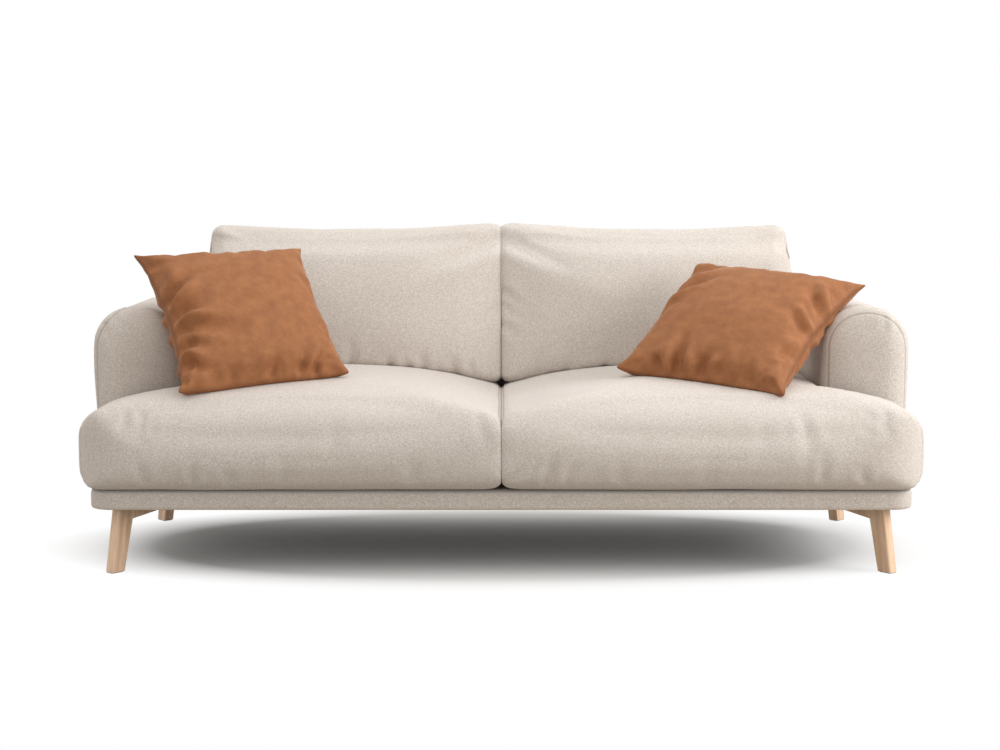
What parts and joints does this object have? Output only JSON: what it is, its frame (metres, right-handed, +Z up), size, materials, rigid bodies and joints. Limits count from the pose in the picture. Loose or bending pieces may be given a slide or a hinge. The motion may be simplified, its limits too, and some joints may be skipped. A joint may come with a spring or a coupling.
{
  "type": "sofa with wooden legs",
  "caption": "Wide low sofa with loose seat and back cushions, a slim upholstered base, low arms set back from the front, velvet scatter cushions and splayed wooden legs.",
  "frame": {"origin": "on the floor, under the middle of the whole sofa", "axes": "+X to the right as seen from the front, +Y to the back, +Z up"},
  "size_m": [2.2, 0.98, 0.888],
  "materials": {
    "linen": "matte woven",
    "rust_velvet": "satin velvet pile",
    "oak": "satin lacquer",
    "pine": "matte, planed",
    "plywood": "matte",
    "foam": "matte foam",
    "fibre_fill": "matte fibre",
    "felt": "matte felt",
    "lining": "matte",
    "webbing": "matte woven",
    "steel": "satin zinc",
    "glide": "matte"
  },
  "bodies": {
    "sofa_frame": {"leg_front_left": "oak", "leg_front_right": "oak", "leg_rear_left": "oak", "leg_rear_right": "oak", "leg_screws": "steel", "floor_glides": "glide", "front_rail": "pine", "rear_rail": "pine", "side_rail_left": "pine", "side_rail_right": "pine", "centre_rail": "pine", "corner_blocks": "pine", "rail_dowels": "pine", "seat_webbing_lengthways": "webbing", "seat_webbing_crossways": "webbing", "deck_pad": "felt", "deck_cloth": "lining", "base_cover": "linen", "dust_cover": "lining", "arm_hood_left": "plywood", "arm_hood_right": "plywood", "arm_formers_left": "plywood", "arm_formers_right": "plywood", "arm_bottom_board_left": "plywood", "arm_bottom_board_right": "plywood", "arm_padding_left": "foam", "arm_padding_right": "foam", "arm_cover_left": "linen", "arm_cover_right": "linen", "arm_bolts": "steel", "back_post_left": "pine", "back_post_centre": "pine", "back_post_right": "pine", "back_top_rail": "pine", "back_bottom_rail": "pine", "back_webbing": "webbing", "back_padding": "foam", "back_cover": "linen", "back_bolts": "steel"},
    "seat_cushion_left": {"seat_cushion_cover_left": "linen", "seat_cushion_core_left": "foam"},
    "back_cushion_left": {"back_cushion_cover_left": "linen", "back_cushion_fill_left": "fibre_fill"},
    "scatter_cushion_left": {"scatter_cushion_cover_left": "rust_velvet", "scatter_cushion_fill_left": "fibre_fill"},
    "seat_cushion_right": {"seat_cushion_cover_right": "linen", "seat_cushion_core_right": "foam"},
    "back_cushion_right": {"back_cushion_cover_right": "linen", "back_cushion_fill_right": "fibre_fill"},
    "scatter_cushion_right": {"scatter_cushion_cover_right": "rust_velvet", "scatter_cushion_fill_right": "fibre_fill"}
  },
  "joints": [
    {"name": "lift_seat_cushion_left", "type": "slide", "parent": "sofa_frame", "child": "seat_cushion_left", "axis": [0, 0, 1], "range_m": [0, 0.3]},
    {"name": "lift_seat_cushion_right", "type": "slide", "parent": "sofa_frame", "child": "seat_cushion_right", "axis": [0, 0, 1], "range_m": [0, 0.3]},
    {"name": "lift_back_cushion_left", "type": "slide", "parent": "seat_cushion_left", "child": "back_cushion_left", "axis": [0, 0.1392, 0.9903], "range_m": [0, 0.3]},
    {"name": "lift_scatter_cushion_left", "type": "slide", "parent": "seat_cushion_left", "child": "scatter_cushion_left", "axis": [0, 0, 1], "range_m": [0, 0.3]},
    {"name": "lift_back_cushion_right", "type": "slide", "parent": "seat_cushion_right", "child": "back_cushion_right", "axis": [0, 0.1392, 0.9903], "range_m": [0, 0.3]},
    {"name": "lift_scatter_cushion_right", "type": "slide", "parent": "seat_cushion_right", "child": "scatter_cushion_right", "axis": [0, 0, 1], "range_m": [0, 0.3]}
  ]
}
